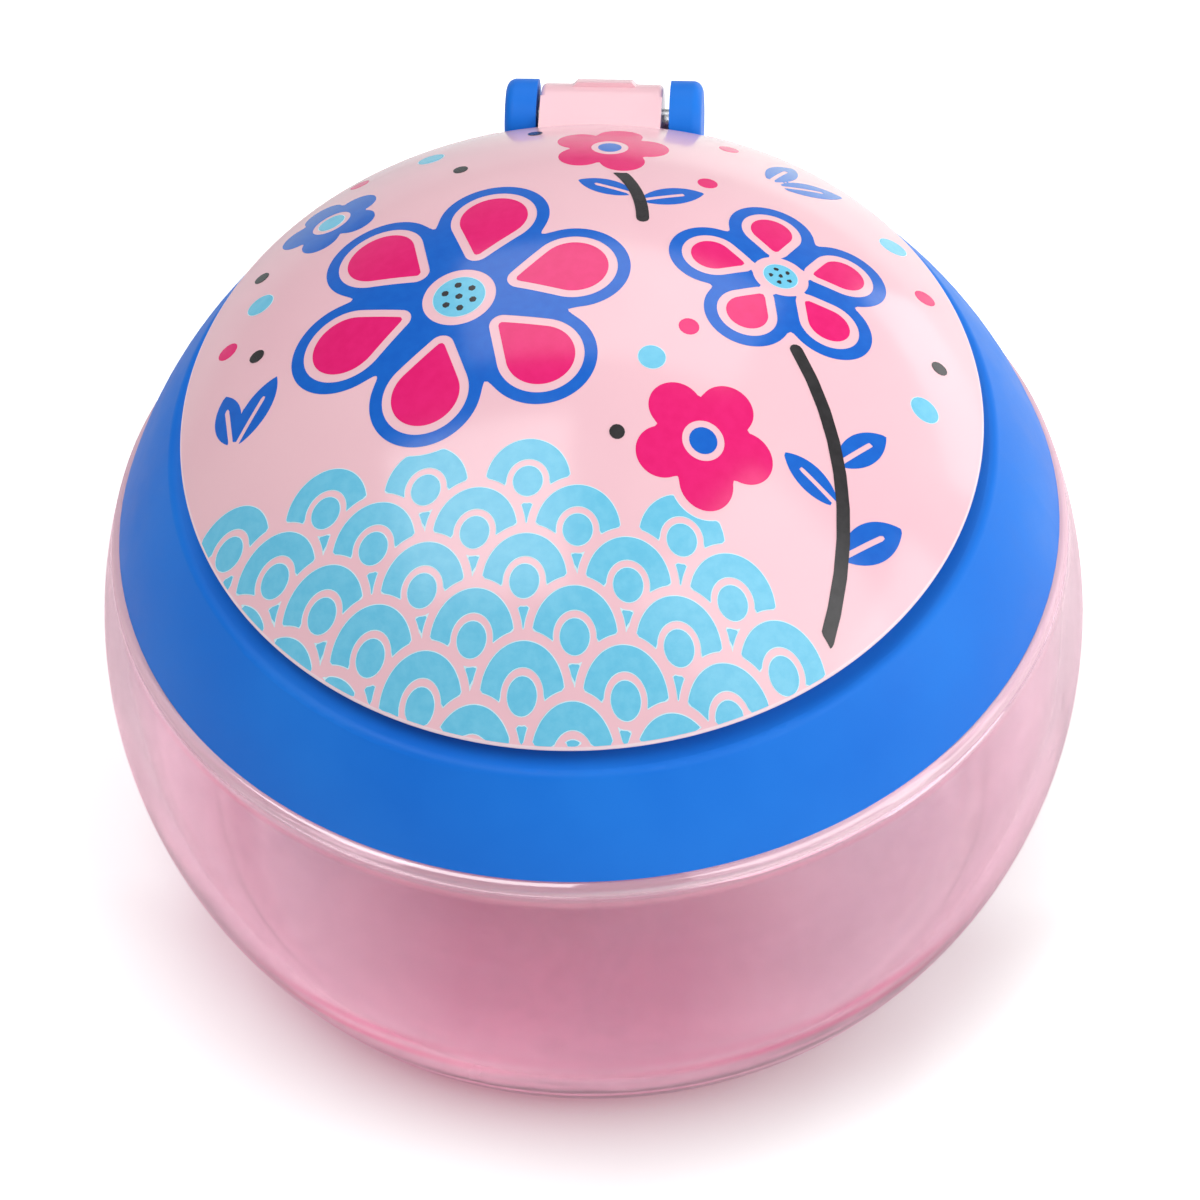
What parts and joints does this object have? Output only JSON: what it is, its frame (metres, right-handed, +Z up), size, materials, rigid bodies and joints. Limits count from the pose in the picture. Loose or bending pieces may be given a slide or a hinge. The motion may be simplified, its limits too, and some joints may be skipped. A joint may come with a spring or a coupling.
{
  "type": "snack container",
  "caption": "Ball-shaped toddler snack container: see-through bowl, screw-on collar holding soft hand flaps over the mouth, and a domed lid hinged at the back.",
  "frame": {"origin": "on the ground under the middle of the bowl", "axes": "+Z up, +Y towards the hinge at the back, +X to the right as seen from the front"},
  "size_m": [0.0946, 0.0946, 0.0725],
  "materials": {
    "bowl_plastic": "clear pink plastic, polished, slightly wavy",
    "collar_plastic": "satin moulded blue plastic",
    "lid_plastic": "glossy moulded pink plastic with a printed picture",
    "flap_rubber": "soft matt thermoplastic rubber",
    "pin_steel": "drawn steel wire"
  },
  "bodies": {
    "bowl": {"bowl": "bowl_plastic"},
    "flap_ring": {"flap_ring": "flap_rubber"},
    "collar": {"collar": "collar_plastic", "hinge_pin": "pin_steel"},
    "lid": {"lid": "lid_plastic"},
    "flap_1": {"flap_1": "flap_rubber"},
    "flap_2": {"flap_2": "flap_rubber"},
    "flap_3": {"flap_3": "flap_rubber"},
    "flap_4": {"flap_4": "flap_rubber"},
    "flap_5": {"flap_5": "flap_rubber"},
    "flap_6": {"flap_6": "flap_rubber"},
    "flap_7": {"flap_7": "flap_rubber"},
    "flap_8": {"flap_8": "flap_rubber"}
  },
  "joints": [
    {"name": "collar_lift", "type": "slide", "parent": "bowl", "child": "flap_ring", "axis": [0, 0, 1], "range_m": [0, 0.006]},
    {"name": "collar_twist", "type": "hinge", "parent": "flap_ring", "child": "collar", "pos_m": [0, 0, 0.0405], "axis": [0, 0, 1], "range_deg": [0, 180]},
    {"name": "lid_hinge", "type": "hinge", "parent": "collar", "child": "lid", "pos_m": [0, 0.03736, 0.05695], "axis": [-1, 0, 0], "range_deg": [0, 105]},
    {"name": "flap_1_bend", "type": "hinge", "parent": "flap_ring", "child": "flap_1", "pos_m": [0.02935, 0, 0.04768], "axis": [0, 1, 0], "range_deg": [-70, 40], "stiffness_Nm_per_rad": 0.004},
    {"name": "flap_2_bend", "type": "hinge", "parent": "flap_ring", "child": "flap_2", "pos_m": [0.02075, 0.02075, 0.04768], "axis": [-0.7071, 0.7071, 0], "range_deg": [-70, 40], "stiffness_Nm_per_rad": 0.004},
    {"name": "flap_3_bend", "type": "hinge", "parent": "flap_ring", "child": "flap_3", "pos_m": [0, 0.02935, 0.04768], "axis": [-1, 0, 0], "range_deg": [-70, 40], "stiffness_Nm_per_rad": 0.004},
    {"name": "flap_4_bend", "type": "hinge", "parent": "flap_ring", "child": "flap_4", "pos_m": [-0.02075, 0.02075, 0.04768], "axis": [-0.7071, -0.7071, 0], "range_deg": [-70, 40], "stiffness_Nm_per_rad": 0.004},
    {"name": "flap_5_bend", "type": "hinge", "parent": "flap_ring", "child": "flap_5", "pos_m": [-0.02935, 0, 0.04768], "axis": [0, -1, 0], "range_deg": [-70, 40], "stiffness_Nm_per_rad": 0.004},
    {"name": "flap_6_bend", "type": "hinge", "parent": "flap_ring", "child": "flap_6", "pos_m": [-0.02075, -0.02075, 0.04768], "axis": [0.7071, -0.7071, 0], "range_deg": [-70, 40], "stiffness_Nm_per_rad": 0.004},
    {"name": "flap_7_bend", "type": "hinge", "parent": "flap_ring", "child": "flap_7", "pos_m": [0, -0.02935, 0.04768], "axis": [1, 0, 0], "range_deg": [-70, 40], "stiffness_Nm_per_rad": 0.004},
    {"name": "flap_8_bend", "type": "hinge", "parent": "flap_ring", "child": "flap_8", "pos_m": [0.02075, -0.02075, 0.04768], "axis": [0.7071, 0.7071, 0], "range_deg": [-70, 40], "stiffness_Nm_per_rad": 0.004}
  ],
  "couplings": [
    {"joint": "collar_lift", "follows": "collar_twist", "m_per_rad": 0.0019099}
  ]
}
